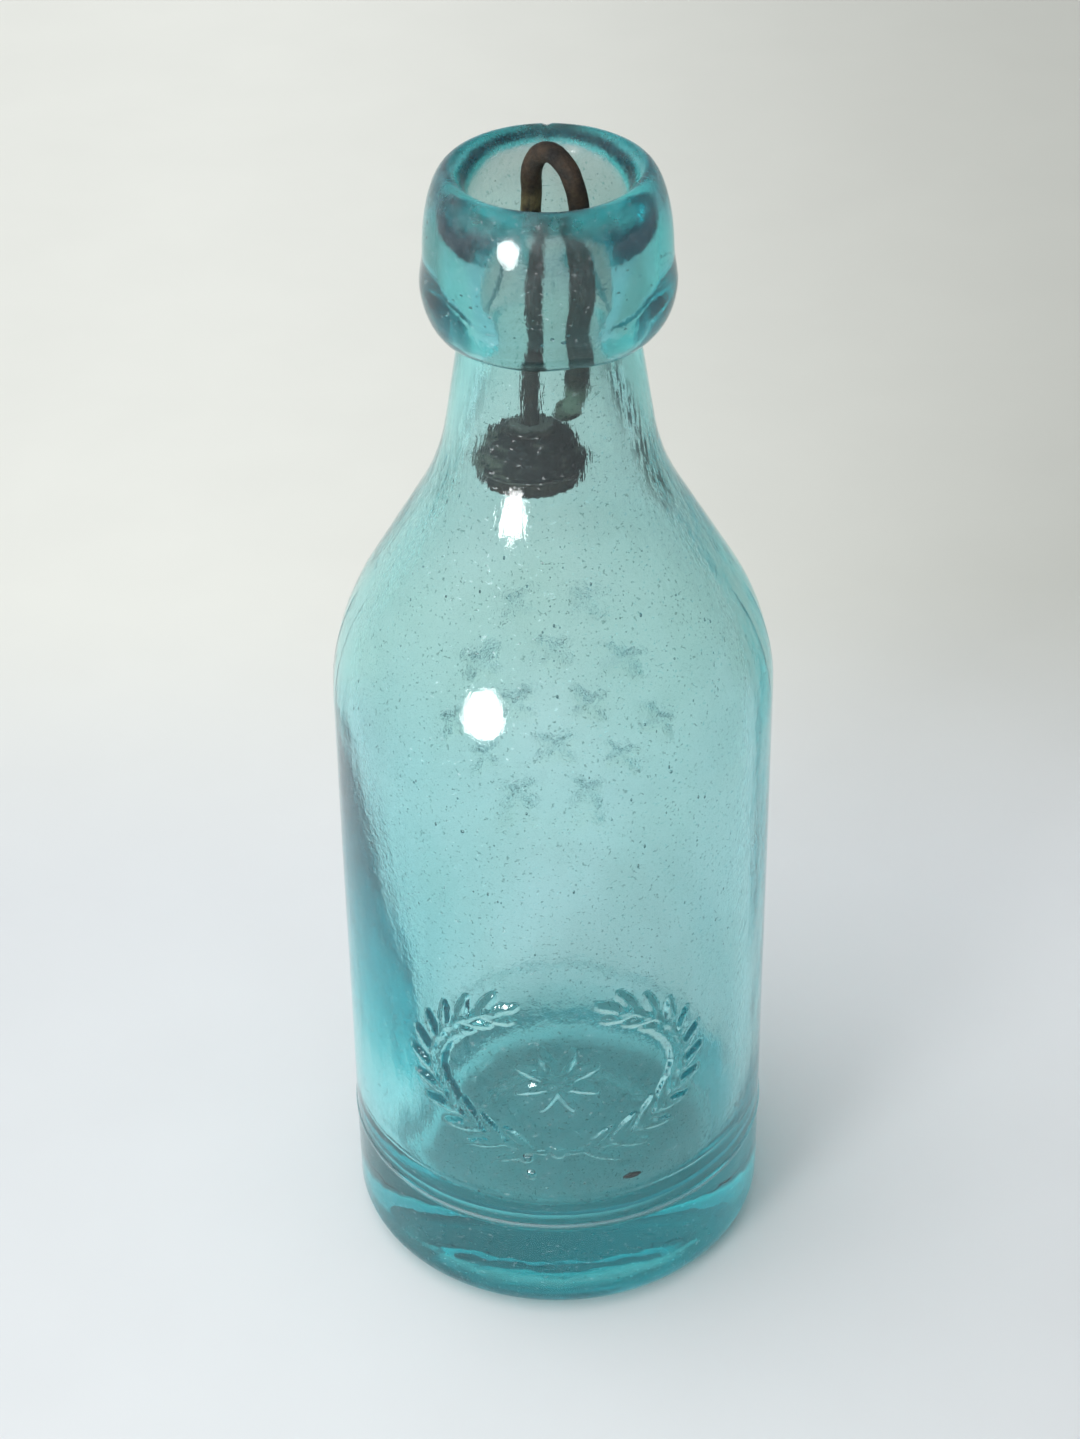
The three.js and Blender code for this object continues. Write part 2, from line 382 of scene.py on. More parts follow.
def shape_outside(vert, relief_height):
    """Presses the relief, the mould seams and a slight unevenness into one point of the outer glass."""
    x, y, z = vert.co
    radius = math.hypot(x, y)
    if radius < BEARING_RADIUS:
        return
    angle = math.atan2(x, -y)
    lift = 0.0
    if RELIEF_LOW < z < SHOULDER_START:
        lift += (FRONT_RELIEF if y < 0 else BACK_RELIEF) * relief_height(angle, z)
    lift += SEAM_RIDGE * math.exp(-((z - SEAM_HEIGHT) / SEAM_RIDGE_WIDTH) ** 2)
    if SEAM_HEIGHT < z < LIP_BOTTOM - 2 * MM:
        from_seam = radius * abs(abs(angle) - math.pi / 2)
        lift += SIDE_SEAM_DEPTH * math.exp(-(from_seam / SIDE_SEAM_WIDTH) ** 2)
    wave = noise.noise(Vector((x, y, z * 0.7)) * 55)
    lift += OUTER_WAVE * wave * smooth_step(8 * MM, 40 * MM, z)
    vert.co.x += lift * x / radius
    vert.co.y += lift * y / radius


def shape_lip(vert):
    """Lets the lip run unevenly round the neck, as a ring of hot glass that was added by hand."""
    x, y, z = vert.co
    angle = math.atan2(x, -y)
    low = smooth_step(LIP_BOTTOM + 9 * MM, LIP_BOTTOM, z) if z > LIP_BOTTOM - 2 * MM else 0.0
    run = math.sin(2 * angle + 0.6) + 0.6 * math.sin(3 * angle + 2) + 0.35 * math.sin(7 * angle)
    vert.co.z += LIP_RUN * run * low
    closing = math.exp(-(math.hypot(x, y) * (math.pi - abs(angle)) / CLOSING_WIDTH) ** 2)
    vert.co.z -= CLOSING_DEPTH * closing * smooth_step(TOP_HEIGHT - 6 * MM, TOP_HEIGHT, z)


def shape_inside(vert):
    """Thickens and thins the inner wall, in soft waves on the body and drawn streaks in the neck."""
    x, y, z = vert.co
    radius = math.hypot(x, y)
    if radius < 1 * MM or z > TOP_HEIGHT - 2.5 * MM:
        return
    body = smooth_step(128 * MM, 100 * MM, z) * (0.15 + 0.85 * smooth_step(24 * MM, 50 * MM, z))
    seat = smooth_step(136 * MM, 141 * MM, z) * smooth_step(152 * MM, 149 * MM, z)
    wave = noise.noise(Vector((x * 1.2, y * 1.2, z * 0.55)) * 48 + Vector((7, 3, 1)))
    streak = noise.noise(Vector((x / radius * 2.6, y / radius * 2.6, z * 9)))
    push = INNER_WAVE * wave * body + DRAWN_STREAK * streak * smooth_step(20 * MM, 60 * MM, z) * (1 - seat)
    left = max(-x / radius, 0.0) ** 1.5
    push -= HEAVY_SIDE * (left * smooth_step(96 * MM, 36 * MM, z) * smooth_step(12 * MM, 30 * MM, z))
    vert.co.x += push * x / radius
    vert.co.y += push * y / radius


def glass_mesh():
    outside = glass_outside()
    inside = glass_inside()
    sectors = [FRONT_SECTOR, SIDE_SECTOR, SEAM_SECTOR, SIDE_SECTOR, BACK_SECTOR,
               SIDE_SECTOR, SEAM_SECTOR, SIDE_SECTOR]
    bm = spun(outside + inside, sectors)
    to_front = Matrix.Rotation(math.radians(-90 - FRONT_SECTOR[0] / 2), 3, "Z")
    bmesh.ops.rotate(bm, verts=bm.verts, cent=(0, 0, 0), matrix=to_front)
    inner = bm.verts.layers.float.new("inner")
    row = bm.verts.layers.int["row"]
    relief_height = relief()
    for vert in bm.verts:
        if vert[row] < len(outside):
            shape_outside(vert, relief_height)
            shape_lip(vert)
        else:
            shape_inside(vert)
            vert[inner] = 1
    return bm


# Materials

def material(name):
    mat = bpy.data.materials.new(name)
    mat.use_nodes = True
    tree = mat.node_tree
    return mat, tree, tree.nodes["Principled BSDF"], tree.nodes["Material Output"]


def placed(tree, kind, scale=(1, 1, 1), **values):
    """A texture node that reads Object coordinates through a Mapping."""
    coords = tree.nodes.new("ShaderNodeTexCoord")
    mapping = tree.nodes.new("ShaderNodeMapping")
    mapping.inputs["Scale"].default_value = scale
    tree.links.new(coords.outputs["Object"], mapping.inputs["Vector"])
    texture = tree.nodes.new(kind)
    tree.links.new(mapping.outputs["Vector"], texture.inputs["Vector"])
    for key, value in values.items():
        texture.inputs[key].default_value = value
    return texture


def ramp(tree, source, stops):
    node = tree.nodes.new("ShaderNodeValToRGB")
    elements = node.color_ramp.elements
    while len(elements) < len(stops):
        elements.new(0.5)
    for element, (place, colour) in zip(elements, stops):
        element.position = place
        element.color = (*colour, 1) if isinstance(colour, tuple) else (colour, colour, colour, 1)
    tree.links.new(source, node.inputs["Fac"])
    return node.outputs["Color"]


def bump(tree, source, strength, distance, normal=None):
    node = tree.nodes.new("ShaderNodeBump")
    node.inputs["Strength"].default_value = strength
    node.inputs["Distance"].default_value = distance
    tree.links.new(source, node.inputs["Height"])
    if normal:
        tree.links.new(normal, node.inputs["Normal"])
    return node.outputs["Normal"]


def span(tree, source, low, high, to_low=0.0, to_high=1.0):
    """A soft step of a value from one level to another."""
    node = tree.nodes.new("ShaderNodeMapRange")
    node.interpolation_type = "SMOOTHSTEP"
    for key, value in zip(("From Min", "From Max", "To Min", "To Max"), (low, high, to_low, to_high)):
        node.inputs[key].default_value = value
    tree.links.new(source, node.inputs["Value"])
    return node.outputs["Result"]


def maths(tree, operation, a, b):
    node = tree.nodes.new("ShaderNodeMath")
    node.operation = operation
    for socket, value in zip(node.inputs, (a, b)):
        if isinstance(value, (int, float)):
            socket.default_value = value
        else:
            tree.links.new(value, socket)
    return node.outputs["Value"]


def mixed(tree, share, a, b, blend="MIX"):
    """Two colours mixed by a share, each a socket or plain values."""
    node = tree.nodes.new("ShaderNodeMix")
    node.data_type = "RGBA"
    node.blend_type = blend
    for socket, value in zip((node.inputs[0], node.inputs[6], node.inputs[7]), (share, a, b)):
        if isinstance(value, tuple):
            socket.default_value = (*value, 1)
        elif isinstance(value, (int, float)):
            socket.default_value = value
        else:
            tree.links.new(value, socket)
    return node.outputs[2]


def mixed_value(tree, share, a, b):
    node = tree.nodes.new("ShaderNodeMix")
    for socket, value in zip((node.inputs[0], node.inputs[2], node.inputs[3]), (share, a, b)):
        if isinstance(value, (int, float)):
            socket.default_value = value
        else:
            tree.links.new(value, socket)
    return node.outputs[0]


def parts_of(tree, source="Object"):
    """X, Y and Z of a place on the object, or of a direction in the world."""
    coords = tree.nodes.new("ShaderNodeTexCoord")
    split = tree.nodes.new("ShaderNodeSeparateXYZ")
    tree.links.new(coords.outputs[source], split.inputs["Vector"])
    return split.outputs


def height_of(tree):
    return parts_of(tree)["Z"]


def near(tree, place, full, none):
    """1 within the distance full of a place and 0 beyond the distance none."""
    coords = tree.nodes.new("ShaderNodeTexCoord")
    gap = tree.nodes.new("ShaderNodeVectorMath")
    gap.operation = "DISTANCE"
    gap.inputs[1].default_value = place
    tree.links.new(coords.outputs["Object"], gap.inputs[0])
    return span(tree, gap.outputs["Value"], full, none, 1, 0)


# Colours that the skins of the glass give to light, with painted shade and painted light among them
FILM_THICK, FILM_THIN = (0.895, 0.92, 0.9), (0.975, 0.97, 0.975)
# Painted shade: the lip darker than the body, and its top darker still, for the dark room seen in the lip
LIP_PAINTED_SHADE = (0.785, 0.79, 0.79)
UPPER_LIP_PAINTED_SHADE = (0.66, 0.62, 0.62)
NECK_RESIDUE = (0.91, 0.85, 0.845)
RUSTY_BORE = (0.95, 0.65, 0.61)
# Painted light: a lighter tint on the floor and foot of the glass, for light reaching the paper under the
# base
FLOOR_PAINTED_LIGHT = (0.92, 0.99, 1)
# Painted shade: dark dashes down the sides of the neck
SHADE_DASH_COLOUR = (0.03, 0.045, 0.05)
DARK_SPECK = (0.38, 0.43, 0.42)
AQUA = (0.03, 0.89, 0.915)
AQUA_DENSITY = 84

# Heights on the glass between which a finish comes in or goes out
LIP_EDGE = (148.5 * MM, 149.5 * MM)
UPPER_LIP = (159 * MM, 164 * MM)
DUSTY_LIP = (156 * MM, 167 * MM)
WORN_CREST = (164.5 * MM, 170 * MM)
BORE_FOOT = (146 * MM, 156 * MM)
NECK_FOOT_FADE = (100 * MM, 128 * MM)
NECK_TOP_FADE = (151 * MM, 146 * MM)
FLOOR_EDGE = (12 * MM, 20 * MM)
BASE_EDGE = (2.8 * MM, 3.4 * MM)
WORN_FOOT = (0.2 * MM, 1 * MM)
GRAIN_FOOT = (16 * MM, 24 * MM)

# The painted shade dashes: the angle at their middle plus the slant times the height stays the same
DASH_SLANT = 21
DASH_LINE = 3.86
DASH_FOOT_FADE = (121 * MM, 129 * MM)


def painted_shade_dashes(tree, up):
    """Painted shade: dark upright dashes down both sides of the neck, less on the left, for the shadowed
    floor seen at its edges.
    """
    place = parts_of(tree)
    side = maths(tree, "ABSOLUTE", place["X"], 0)
    angle = maths(tree, "ARCTAN2", side, maths(tree, "MULTIPLY", place["Y"], -1))
    line = maths(tree, "ADD", angle, maths(tree, "MULTIPLY", up, DASH_SLANT))
    gap = maths(tree, "ABSOLUTE", maths(tree, "SUBTRACT", line, DASH_LINE), 0)
    dash = placed(tree, "ShaderNodeTexNoise", (1, 1, 0.16), Scale=1150, Detail=4, Roughness=0.65)
    share = span(tree, dash.outputs["Fac"], 0.45, 0.54)
    for part in (span(tree, gap, 0.06, 0.24, 1, 0), span(tree, up, *DASH_FOOT_FADE),
                 span(tree, up, *NECK_TOP_FADE), span(tree, place["X"], -2 * MM, 2 * MM, 0.4, 1)):
        share = maths(tree, "MULTIPLY", share, part)
    return share


def glass_tint(tree, up, inner, film, residue):
    """Colour that each skin gives to light: old film, painted shade on the lip, rusty bore, painted light
    on the floor and foot, painted shade in dashes down the neck, and dark specks.
    """
    clear = ramp(tree, film, [(0.34, FILM_THICK), (0.66, FILM_THIN)])
    # painted shade on the lip, darker still on its top
    lip = mixed(tree, span(tree, up, *LIP_EDGE), (1, 1, 1), LIP_PAINTED_SHADE)
    tint = mixed(tree, 1, clear, lip, "MULTIPLY")
    tint = mixed(tree, span(tree, up, *UPPER_LIP), tint, UPPER_LIP_PAINTED_SHADE)
    tint = mixed(tree, residue, tint, NECK_RESIDUE)
    bore = maths(tree, "MULTIPLY", inner, span(tree, up, *BORE_FOOT))
    tint = mixed(tree, bore, tint, RUSTY_BORE)
    # painted light on the floor and foot of the glass
    floor = maths(tree, "MULTIPLY", inner, span(tree, up, *FLOOR_EDGE, 1, 0))
    bottom = maths(tree, "MAXIMUM", floor, span(tree, up, *BASE_EDGE, 1, 0))
    tint = mixed(tree, bottom, tint, FLOOR_PAINTED_LIGHT)
    outer = maths(tree, "SUBTRACT", 1, inner)
    # painted shade in dashes down the outside of the neck
    shade_dashes = maths(tree, "MULTIPLY", outer, painted_shade_dashes(tree, up))
    tint = mixed(tree, shade_dashes, tint, SHADE_DASH_COLOUR)
    specks = placed(tree, "ShaderNodeTexNoise", (1, 1, 1), Scale=2000, Detail=1, Roughness=0.4)
    dots = ramp(tree, specks.outputs["Fac"], [(0.68, 0.0), (0.72, 1.0)])
    return mixed(tree, dots, tint, DARK_SPECK)


def glass_dullness(tree, up, inner, film):
    """Roughness from rubbed patches, the worn foot and crest, and the stained inside."""
    rub = placed(tree, "ShaderNodeTexNoise", (1, 1, 1), Scale=420, Detail=6, Roughness=0.7)
    haze = span(tree, rub.outputs["Fac"], 0.5, 0.75, 0.0, 0.05)
    worn = maths(tree, "MAXIMUM", span(tree, up, *WORN_FOOT, 0.3, 0.0),
                 span(tree, up, *WORN_CREST, 0.0, 0.42))
    wear = maths(tree, "MULTIPLY", worn, rub.outputs["Fac"])
    stained = maths(tree, "MULTIPLY", inner, span(tree, film, 0.3, 0.7, 0.02, 0.07))
    return maths(tree, "ADD", maths(tree, "ADD", haze, wear), stained)


def scuffs_and_ridge_highlight(tree, up, inner):
    """Share of the outside that the coat whitens: a painted highlight along the ridge above the heel, dusty
    lip and scattered flecks.
    """
    outer = maths(tree, "SUBTRACT", 1, inner)
    from_ring = maths(tree, "ABSOLUTE", maths(tree, "SUBTRACT", up, SEAM_HEIGHT), 0)
    # painted highlight: a whitish line along the ridge above the heel
    ring = span(tree, from_ring, 0.18 * MM, 0.42 * MM, 1, 0)
    dust = placed(tree, "ShaderNodeTexNoise", (1, 1, 1), Scale=330, Detail=8, Roughness=0.75)
    on_lip = maths(tree, "MULTIPLY", span(tree, up, *DUSTY_LIP),
                   span(tree, dust.outputs["Fac"], 0.42, 0.7, 0.04, 0.42))
    flecks = placed(tree, "ShaderNodeTexNoise", (1, 1, 1.6), Scale=1400, Detail=1, Roughness=0.5)
    scattered = span(tree, flecks.outputs["Fac"], 0.68, 0.73)
    scuffs_and_highlight = maths(tree, "MAXIMUM", ring, maths(tree, "MAXIMUM", on_lip, scattered))
    return maths(tree, "MULTIPLY", outer, scuffs_and_highlight)


def glass_skin(tree, up, neck):
    """Bumps of the glass: slow ripples, fine mould grain above the heel, and drawn streaks in the neck."""
    ripple = placed(tree, "ShaderNodeTexNoise", (1, 1, 0.45), Scale=170, Detail=2, Roughness=0.4)
    calm = bump(tree, ripple.outputs["Fac"], 0.1, 0.001)
    grain = placed(tree, "ShaderNodeTexNoise", (1, 1, 0.7), Scale=1500, Detail=3, Roughness=0.6)
    above_heel = maths(tree, "MULTIPLY", grain.outputs["Fac"], span(tree, up, *GRAIN_FOOT))
    skin = bump(tree, above_heel, 0.28, 0.00006, calm)
    drawn = placed(tree, "ShaderNodeTexNoise", (1, 1, 0.07), Scale=1100, Detail=3, Roughness=0.6)
    streaks = maths(tree, "MULTIPLY", drawn.outputs["Fac"], neck)
    return bump(tree, streaks, 0.16, 0.0004, skin)


def aqua_glass():
    """Thick aqua glass, with an old film inside, dust and wear outside, painted shade on the lip and neck,
    painted light on the floor and foot, and a painted highlight on the ridge above the heel.
    """
    mat, tree, shader, output = material("aqua_glass")
    shader.inputs["Transmission Weight"].default_value = 0.992
    shader.inputs["IOR"].default_value = 1.51
    # The coat lays a painted highlight along the ridge above the heel, and whitens dust and flecks.
    shader.inputs["Coat Roughness"].default_value = 0.7
    shader.inputs["Coat IOR"].default_value = 2.6
    shader.inputs["Coat Tint"].default_value = (0.75, 0.95, 0.97, 1)
    up = height_of(tree)
    inner = tree.nodes.new("ShaderNodeAttribute")
    inner.attribute_name = "inner"
    inner = inner.outputs["Fac"]
    film = placed(tree, "ShaderNodeTexNoise", (1, 1, 0.6), Scale=70, Detail=6, Roughness=0.6)
    film = film.outputs["Fac"]
    neck = maths(tree, "MULTIPLY", span(tree, up, *NECK_FOOT_FADE), span(tree, up, *NECK_TOP_FADE))

    residue = maths(tree, "MULTIPLY", inner, neck)
    tree.links.new(glass_tint(tree, up, inner, film, residue), shader.inputs["Base Color"])
    tree.links.new(glass_dullness(tree, up, inner, film), shader.inputs["Roughness"])
    tree.links.new(scuffs_and_ridge_highlight(tree, up, inner), shader.inputs["Coat Weight"])
    tree.links.new(mixed(tree, residue, (1, 1, 1), (0.25, 0.27, 0.3)), shader.inputs["Specular Tint"])
    tree.links.new(glass_skin(tree, up, neck), shader.inputs["Normal"])

    absorb = tree.nodes.new("ShaderNodeVolumeAbsorption")
    absorb.inputs["Color"].default_value = (*AQUA, 1)
    absorb.inputs["Density"].default_value = AQUA_DENSITY
    tree.links.new(absorb.outputs["Volume"], output.inputs["Volume"])
    return mat


EDGE_HIGHLIGHT = (0.17, 0.165, 0.14)
BRASSY_PATINA = (0.2, 0.155, 0.07)
PALE_WIRE_END = (0.24, 0.27, 0.2)
RUBBER_CRUST_AND_GLARE = (0.12, 0.125, 0.09)


def rusted_iron():
    """Colour, roughness and height of rust on old iron, shared by the wire and the plates."""
    tree = bpy.data.node_groups.new("rusted_iron", "ShaderNodeTree")
    face = tree.interface
    scale = face.new_socket("Scale", in_out="INPUT", socket_type="NodeSocketFloat")
    scale.default_value = 900
    kinds = {"Color": "NodeSocketColor", "Roughness": "NodeSocketFloat", "Height": "NodeSocketFloat"}
    for name, kind in kinds.items():
        face.new_socket(name, in_out="OUTPUT", socket_type=kind)
    entry = tree.nodes.new("NodeGroupInput")
    leave = tree.nodes.new("NodeGroupOutput")
    blotch = placed(tree, "ShaderNodeTexNoise", (1, 1, 1), Detail=6, Roughness=0.65)
    tree.links.new(entry.outputs["Scale"], blotch.inputs["Scale"])
    tree.links.new(ramp(tree, blotch.outputs["Fac"], [
        (0.32, (0.014, 0.013, 0.012)), (0.47, (0.033, 0.026, 0.019)),
        (0.6, (0.06, 0.04, 0.025)), (0.74, (0.09, 0.073, 0.042)),
    ]), leave.inputs["Color"])
    pits = placed(tree, "ShaderNodeTexNoise", (1, 1, 1), Scale=2600, Detail=5, Roughness=0.7)
    tree.links.new(ramp(tree, pits.outputs["Fac"], [(0.3, 0.55), (0.7, 0.95)]), leave.inputs["Roughness"])
    tree.links.new(pits.outputs["Fac"], leave.inputs["Height"])
    return tree


def iron(name, group, scale, rim):
    """Old iron plate, paler along its upper edge at the height rim as a painted highlight."""
    mat, tree, shader, _ = material(name)
    rust = tree.nodes.new("ShaderNodeGroup")
    rust.node_tree = group
    rust.inputs["Scale"].default_value = scale
    # painted highlight along the upper edge
    edge = span(tree, height_of(tree), rim - 0.4 * MM, rim - 0.15 * MM)
    worn = mixed(tree, edge, rust.outputs["Color"], EDGE_HIGHLIGHT)
    tree.links.new(worn, shader.inputs["Base Color"])
    tree.links.new(rust.outputs["Roughness"], shader.inputs["Roughness"])
    tree.links.new(bump(tree, rust.outputs["Height"], 0.6, 0.0003), shader.inputs["Normal"])
    shader.inputs["Metallic"].default_value = 0.3
    return mat


def wire_iron(group):
    """Brown iron wire, with a brassy patina on the stem in the mouth, and paler near the free end."""
    mat, tree, shader, _ = material("wire_iron")
    rust = tree.nodes.new("ShaderNodeGroup")
    rust.node_tree = group
    rust.inputs["Scale"].default_value = 420
    patch = placed(tree, "ShaderNodeTexNoise", (1, 1, 0.6), Scale=520, Detail=5, Roughness=0.6)
    stem = (STEM_X, 0, TOP_HEIGHT - 7 * MM)
    patina = maths(tree, "MULTIPLY", near(tree, stem, 2.5 * MM, 6 * MM),
                   span(tree, patch.outputs["Fac"], 0.35, 0.6))
    # paler near the free end of the wire
    free_end = wire_place(*WIRE_LINE[-3])
    pale_share = maths(tree, "MULTIPLY", near(tree, free_end, 1 * MM, 4 * MM),
                  span(tree, patch.outputs["Fac"], 0.38, 0.55))
    brassy = mixed(tree, patina, rust.outputs["Color"], BRASSY_PATINA)
    tree.links.new(mixed(tree, pale_share, brassy, PALE_WIRE_END), shader.inputs["Base Color"])
    tree.links.new(rust.outputs["Roughness"], shader.inputs["Roughness"])
    tree.links.new(bump(tree, rust.outputs["Height"], 0.6, 0.0003), shader.inputs["Normal"])
    shader.inputs["Metallic"].default_value = 0.35
    return mat


def perished_rubber():
    """Hard black rubber, with a pale olive crust, spread further on the lamp's side as painted light."""
    mat, tree, shader, _ = material("perished_rubber")
    crumbs = placed(tree, "ShaderNodeTexNoise", (1, 1, 1), Scale=480, Detail=8, Roughness=0.72)
    left = (STEM_X - GASKET_RADIUS, -2 * MM, GASKET_LOW.z + 1 * MM)
    # painted light: more of the pale crust on the left, towards the lamp
    lamp_side_glare = maths(tree, "MULTIPLY", near(tree, left, 1 * MM, 8 * MM), 0.16)
    patch = maths(tree, "ADD", lamp_side_glare, crumbs.outputs["Fac"])
    shades = [(0.4, (0.003, 0.003, 0.003)), (0.62, (0.026, 0.024, 0.02))]
    black = ramp(tree, crumbs.outputs["Fac"], shades)
    pale_share = span(tree, patch, 0.55, 0.65)
    tree.links.new(mixed(tree, pale_share, black, RUBBER_CRUST_AND_GLARE), shader.inputs["Base Color"])
    tree.links.new(ramp(tree, crumbs.outputs["Fac"], [(0.4, 0.6), (0.7, 0.95)]), shader.inputs["Roughness"])
    tree.links.new(bump(tree, crumbs.outputs["Fac"], 0.8, 0.0006), shader.inputs["Normal"])
    return mat


def slag():
    """Dark, half-melted stone."""
    mat, tree, shader, _ = material("slag")
    grain = placed(tree, "ShaderNodeTexNoise", (1, 1, 1), Scale=2500, Detail=4)
    shades = [(0.35, (0.012, 0.014, 0.018)), (0.7, (0.07, 0.075, 0.08))]
    tree.links.new(ramp(tree, grain.outputs["Fac"], shades), shader.inputs["Base Color"])
    tree.links.new(ramp(tree, grain.outputs["Fac"], [(0.35, 0.35), (0.7, 0.8)]), shader.inputs["Roughness"])
    return mat


def trapped_air():
    """Air in a bubble, which bends light the other way from the glass round it."""
    mat, tree, shader, _ = material("trapped_air")
    shader.inputs["Transmission Weight"].default_value = 1
    shader.inputs["IOR"].default_value = 0.66
    grain = placed(tree, "ShaderNodeTexNoise", (1, 1, 1), Scale=300)
    tree.links.new(ramp(tree, grain.outputs["Fac"], [(0.4, 0.0), (0.6, 0.05)]), shader.inputs["Roughness"])
    return mat


# Pieces

def stopper_ring(outline, steps=72):
    """A ring about the stem from an outline that runs from the bottom to the top."""
    bottom, top = outline[0][1], outline[-1][1]
    profile = [(STEM_HOLE, bottom)] + straight((STEM_HOLE, bottom), outline[0], 4)
    for a, b in zip(outline, outline[1:]):
        profile += straight(a, b, max(2, round(math.dist(a, b) / (0.22 * MM))))
    profile += straight(outline[-1], (STEM_HOLE, top), 4)
    profile += straight(profile[-1], (STEM_HOLE, bottom), 6)
    return spun(profile, [(360, steps)], STEM_X)


def roughen(bm, depth, scale, offset=0.0):
    """Eats into the surface along its normals by a broken-up noise."""
    bm.normal_update()
    moves = []
    for vert in bm.verts:
        place = vert.co * scale + Vector((offset, offset, offset))
        bite = noise.turbulence(place, 3, True)
        moves.append(vert.normal * -depth * bite)
    for vert, move in zip(bm.verts, moves):
        vert.co += move
    return bm


def gasket_mesh():
    low, high = GASKET_LOW.z, GASKET_HIGH.z
    outline = [
        (GASKET_RADIUS - 0.75 * MM, low), (GASKET_RADIUS, low + 0.35 * MM),
        (GASKET_RADIUS, low + 1.05 * MM), (GASKET_RADIUS - 0.3 * MM, low + 1.35 * MM),
        (6.75 * MM, low + 1.8 * MM), (6.5 * MM, low + 2.4 * MM),
        (6.2 * MM, high - 1.5 * MM), (5.5 * MM, high - 0.6 * MM), (WASHER_RADIUS + 0.1 * MM, high),
    ]
    return roughen(stopper_ring(outline, 150), 0.42 * MM, 620)


def lower_plate_mesh():
    low, high = PLATE_LOW.z, PLATE_HIGH.z
    outline = [
        (PLATE_RADIUS - 1 * MM, low), (PLATE_RADIUS - 0.3 * MM, low + 0.25 * MM),
        (PLATE_RADIUS, low + 0.8 * MM),
        (PLATE_RADIUS, high - 0.2 * MM), (PLATE_RADIUS - 0.2 * MM, high),
    ]
    return roughen(stopper_ring(outline, 150), 0.4 * MM, 560, 5)


def upper_plate_mesh():
    low, high = WASHER_LOW.z, WASHER_HIGH.z
    outline = [
        (WASHER_RADIUS - 0.1 * MM, low), (WASHER_RADIUS, low + 0.1 * MM), (WASHER_RADIUS, low + 0.4 * MM),
        (WASHER_RADIUS - 0.2 * MM, low + 0.6 * MM), (2.05 * MM, high),
    ]
    return roughen(stopper_ring(outline, 90), 0.1 * MM, 900, 9)


# Centre line of the wire in millimetres: distance out from the stem in the loop's plane, and height.
WIRE_LINE = [
    (0, 126.6), (0, 132), (0.15, 142), (0.4, 155), (0.6, 167.5),
    (1.1, 172.1), (3.1, 173.95), (5.5, 173.05), (7.2, 170.2),
    (8, 165.5), (8.1, 160), (7.4, 151), (6.9, 144.5),
    (6.6, 140.6), (5.6, 138.8), (4.5, 138.9),
]


def wire_place(out, up):
    turn = math.radians(LOOP_TURN)
    return STEM_X + out * MM * math.cos(turn), -out * MM * math.sin(turn), up * MM


def wire_mesh():
    """One round wire, swept along its centre line, with its lower end riveted over the plate."""
    curve = bpy.data.curves.new("wire_line", "CURVE")
    curve.dimensions = "3D"
    curve.bevel_depth = WIRE_RADIUS
    curve.bevel_resolution = 6
    curve.use_fill_caps = True
    curve.resolution_u = 14
    spline = curve.splines.new("BEZIER")
    spline.bezier_points.add(len(WIRE_LINE) - 1)
    for knot, stop in zip(spline.bezier_points, WIRE_LINE):
        knot.co = wire_place(*stop)
        knot.handle_left_type = knot.handle_right_type = "AUTO"
    holder = bpy.data.objects.new("wire_line", curve)
    bpy.context.scene.collection.objects.link(holder)
    swept = bpy.data.meshes.new_from_object(holder.evaluated_get(bpy.context.evaluated_depsgraph_get()))
    bm = bmesh.new()
    bm.from_mesh(swept)
    bpy.data.objects.remove(holder)
    bpy.data.meshes.remove(swept)
    bmesh.ops.remove_doubles(bm, verts=bm.verts, dist=1e-6)
    bmesh.ops.recalc_face_normals(bm, faces=bm.faces)
    return roughen(bm, 0.08 * MM, 700, 3)


def rivet_mesh():
    """The wire's end, hammered out to a low button under the plate."""
    top = PLATE_LOW.z
    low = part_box("spring_wire")[0].z
    profile = [(0, low)] + straight((0, low), (RIVET_RADIUS * 0.6, low + 0.12 * MM), 4)
    profile += arc((RIVET_RADIUS * 0.6, top), RIVET_RADIUS * 0.4, top - low - 0.12 * MM, -90, 0, 6)[1:]
    profile += straight(profile[-1], (0, top), 4)
    return roughen(spun(profile, [(360, 48)], STEM_X), 0.08 * MM, 800, 1)


SEED_COUNT = 1000
LIP_SEED_COUNT = 90

# Stones: angle from the front in degrees, height and half width in millimetres.
STONES = [(20.5, 25.6, 1.5), (-96, 70, 0.5), (118, 34, 0.6)]


def in_wall(angle, z, share):
    """A place in the wall, at a share of its depth from the outside."""
    radius = outer_radius(z) - share * WALL
    place = Matrix.Translation((radius * math.sin(angle), -radius * math.cos(angle), z))
    return place @ Matrix.Rotation(angle, 4, "Z")


